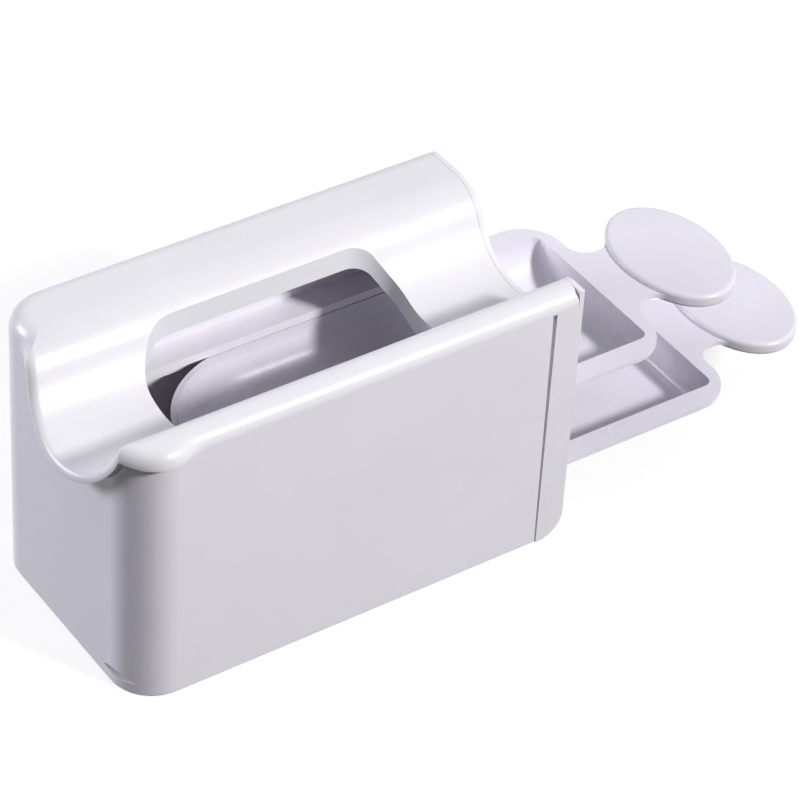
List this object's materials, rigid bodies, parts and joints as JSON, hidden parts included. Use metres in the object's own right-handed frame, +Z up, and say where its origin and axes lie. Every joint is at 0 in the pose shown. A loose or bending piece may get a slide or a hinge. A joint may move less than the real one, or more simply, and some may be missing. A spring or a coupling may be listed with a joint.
{
  "type": "dip powder recycling box",
  "caption": "Portable box with an open saddle-shaped slotted cover over stacked pull-out scoop trays with oval thumb discs, for catching and saving loose powder.",
  "frame": {"origin": "centre of the box's bottom face (the box without its spout and trays)", "axes": "+X along the box towards the end the trays pull out of, -Y the front, +Z up"},
  "size_m": [0.2331, 0.072, 0.082],
  "materials": {
    "cover_white": "gloss moulded ABS",
    "shell_white": "gloss moulded ABS",
    "base_white": "gloss moulded ABS",
    "frame_white": "gloss moulded ABS",
    "rack_white": "satin moulded ABS",
    "tray_white": "gloss moulded ABS"
  },
  "bodies": {
    "box": {"saddle_cover": "cover_white", "body_shell": "shell_white", "base_plate": "base_white", "end_frame": "frame_white", "back_guide_rack": "rack_white", "front_guide_rack": "rack_white"},
    "upper_tray": {"upper_tray": "tray_white"},
    "lower_tray": {"lower_tray": "tray_white"}
  },
  "joints": [
    {"name": "upper_tray_slide", "type": "slide", "parent": "box", "child": "upper_tray", "axis": [1, 0, 0], "range_m": [-0.0319, 0.0681]},
    {"name": "lower_tray_slide", "type": "slide", "parent": "box", "child": "lower_tray", "axis": [1, 0, 0], "range_m": [-0.0566, 0.0434]}
  ]
}
